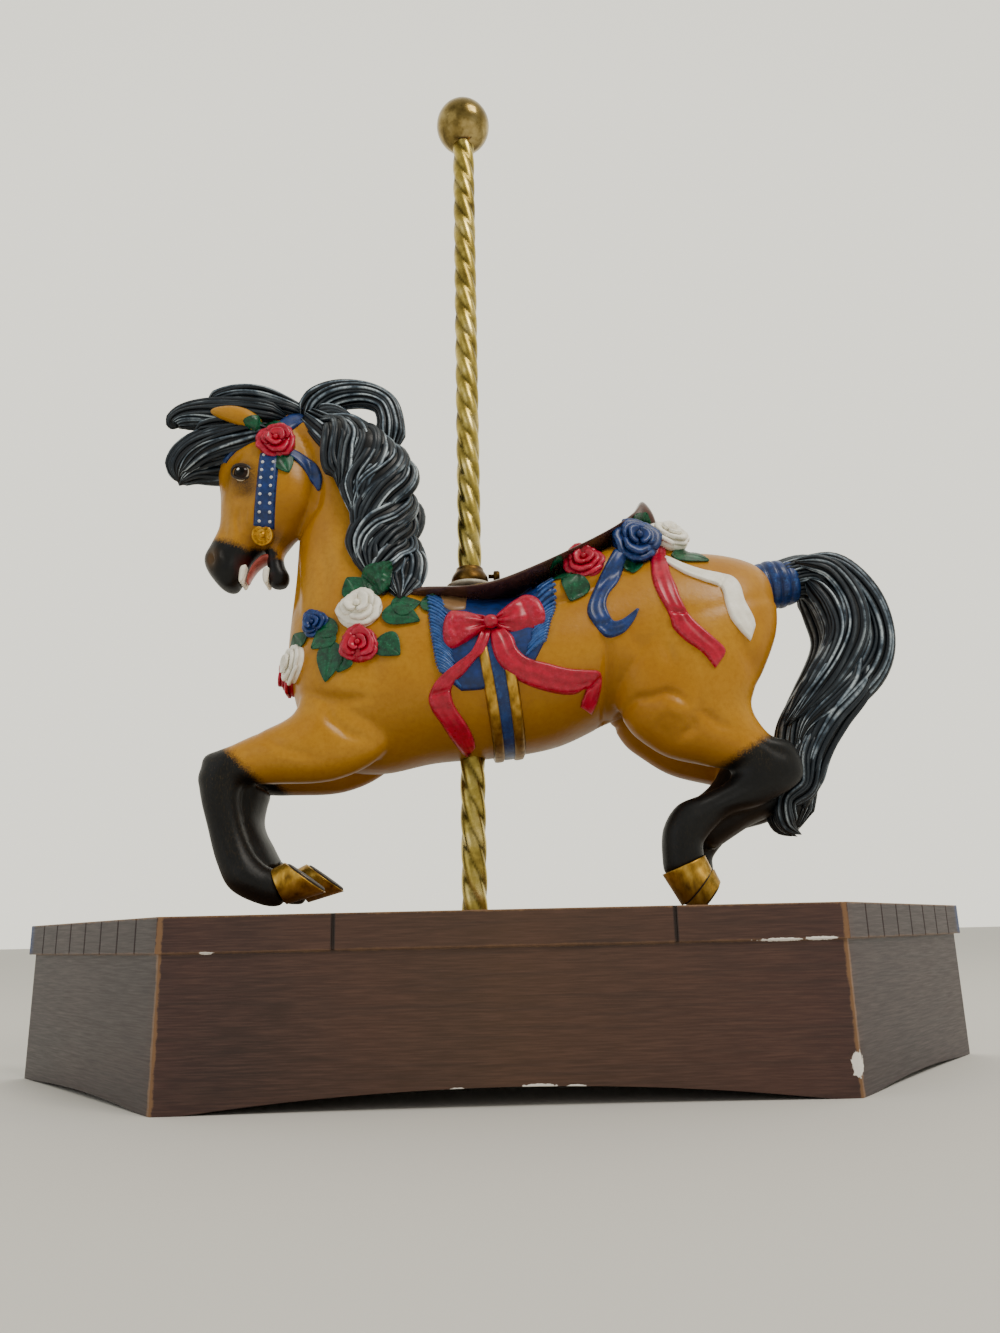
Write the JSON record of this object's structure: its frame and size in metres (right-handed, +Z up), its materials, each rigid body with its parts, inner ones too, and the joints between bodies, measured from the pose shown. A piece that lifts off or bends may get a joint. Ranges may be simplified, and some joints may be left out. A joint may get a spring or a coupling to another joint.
{
  "type": "carousel horse ornament",
  "caption": "Painted cast carousel horse with flowers, bow and long tail, held by a twisted brass pole with a ball finial over a half-hexagon wood-look platform.",
  "frame": {"origin": "on the surface it stands on, under the middle of the platform", "axes": "+Z up along the pole; the horse faces -X; its dressed side, with the mane and the flowers, faces -Y"},
  "size_m": [0.494, 0.1324, 0.5383],
  "materials": {
    "platform_paint": "brown wood-grain paint, dry-brushed, satin, chipped to white",
    "horse_paint": "hand-painted ochre coat with black, red, blue, green, white and gold details, satin",
    "pole_brass": "twisted, lacquered, tarnished in spots",
    "ball_brass": "polished, specked with tarnish",
    "collar_brass": "aged dark brass",
    "felt": "off-white felt"
  },
  "bodies": {
    "root": {"platform": "platform_paint", "horse": "horse_paint", "pole": "pole_brass", "finial_ball": "ball_brass", "collar": "collar_brass", "thumb_screw": "collar_brass", "washer": "felt"}
  },
  "joints": []
}
